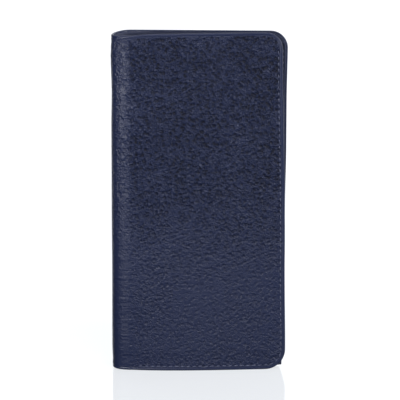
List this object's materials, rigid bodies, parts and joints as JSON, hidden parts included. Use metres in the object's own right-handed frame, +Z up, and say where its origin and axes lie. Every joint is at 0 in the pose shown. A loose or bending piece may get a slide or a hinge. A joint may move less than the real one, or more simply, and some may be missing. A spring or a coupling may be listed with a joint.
{
  "type": "long wallet",
  "caption": "Tall bifold leather long wallet that opens round a rounded fold, with card slots, note pockets and a zipped coin pocket inside.",
  "frame": {"origin": "centre of the wallet's footprint, at its lower short end", "axes": "+Z up along the wallet's height, +X from the rounded fold to the opening edge, -Y out of the front cover"},
  "size_m": [0.096, 0.02, 0.19],
  "materials": {
    "outer_leather": "navy pebbled leather, satin",
    "inner_leather": "navy smooth leather, satin",
    "lining": "navy twill lining",
    "board": "grey bonded stiffener board",
    "thread": "waxed navy thread",
    "zip_tape": "dark woven tape",
    "zip_metal": "nickel plated"
  },
  "bodies": {
    "back_half": {"back_cover": "outer_leather", "back_board": "board", "back_lining": "lining", "back_stitching": "thread", "bill_panel": "inner_leather", "coin_pouch_back": "lining", "coin_pouch_gusset": "lining", "coin_pouch_front": "lining", "coin_panel_lower": "inner_leather", "coin_panel_upper": "inner_leather", "coin_stitching": "thread", "zip_tape_lower": "zip_tape", "zip_tape_upper": "zip_tape", "zip_teeth_lower": "zip_metal", "zip_teeth_upper": "zip_metal", "zip_stops": "zip_metal"},
    "spine": {"spine_cover": "outer_leather", "spine_core": "board", "spine_lining": "lining"},
    "front_half": {"front_cover": "outer_leather", "front_board": "board", "front_lining": "lining", "front_stitching": "thread", "front_pocket_panel": "inner_leather", "card_slot_1": "inner_leather", "card_slot_2": "inner_leather", "card_slot_3": "inner_leather", "card_slot_4": "inner_leather", "card_slot_5": "inner_leather", "card_slot_6": "inner_leather", "card_slot_7": "inner_leather", "card_slot_8": "inner_leather", "card_stitching": "thread"},
    "zip_slider": {"zip_slider": "zip_metal"},
    "zip_puller": {"zip_puller": "zip_metal"}
  },
  "joints": [
    {"name": "fold_back", "type": "hinge", "parent": "back_half", "child": "spine", "pos_m": [-0.0453, 0.00683, 0.095], "axis": [0, 0, -1], "range_deg": [0, 93.85]},
    {"name": "fold_front", "type": "hinge", "parent": "spine", "child": "front_half", "pos_m": [-0.04432, -0.00775, 0.095], "axis": [0, 0, -1], "range_deg": [0, 93.85]},
    {"name": "zip_slide", "type": "slide", "parent": "back_half", "child": "zip_slider", "axis": [1, 0, 0], "range_m": [0, 0.052]},
    {"name": "puller_swing", "type": "hinge", "parent": "zip_slider", "child": "zip_puller", "pos_m": [-0.0265, 0.004, 0.152], "axis": [0, 0, 1], "range_deg": [0, 18]}
  ],
  "couplings": [
    {"joint": "fold_front", "follows": "fold_back", "ratio": 1}
  ]
}
